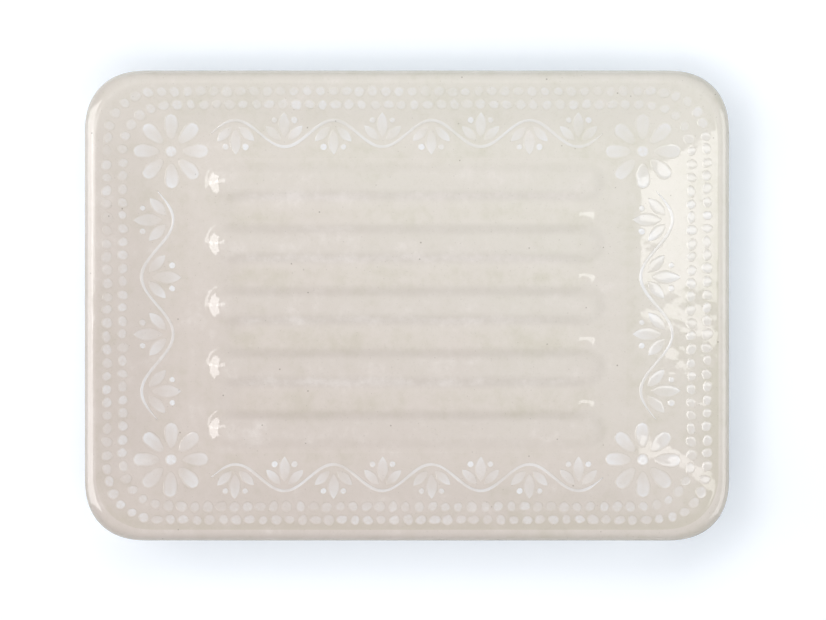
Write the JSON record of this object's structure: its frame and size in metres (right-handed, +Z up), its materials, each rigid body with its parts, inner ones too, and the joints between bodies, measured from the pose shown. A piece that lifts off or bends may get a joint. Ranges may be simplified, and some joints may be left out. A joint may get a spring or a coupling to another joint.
{
  "type": "soap dish",
  "caption": "Shallow rectangular stoneware soap dish with rounded corners, a rolled rim, a raised slip border, a ribbed well and a recessed foot.",
  "frame": {"origin": "centre of the foot, on the surface that the dish stands on", "axes": "+X along the dish's length, +Y across its width, +Z up out of the well"},
  "size_m": [0.137, 0.1, 0.02],
  "materials": {
    "glazed_stoneware": "clear gloss glaze over pale stoneware, bare on the foot ring",
    "white_slip": "raised white slip under the same gloss glaze"
  },
  "bodies": {
    "root": {"dish_body": "glazed_stoneware", "slip_beads_outer": "white_slip", "slip_beads_inner": "white_slip", "slip_daisy_petals": "white_slip", "slip_daisy_eyes": "white_slip", "slip_vine_stems": "white_slip", "slip_vine_leaves": "white_slip", "slip_berries": "white_slip"}
  },
  "joints": []
}
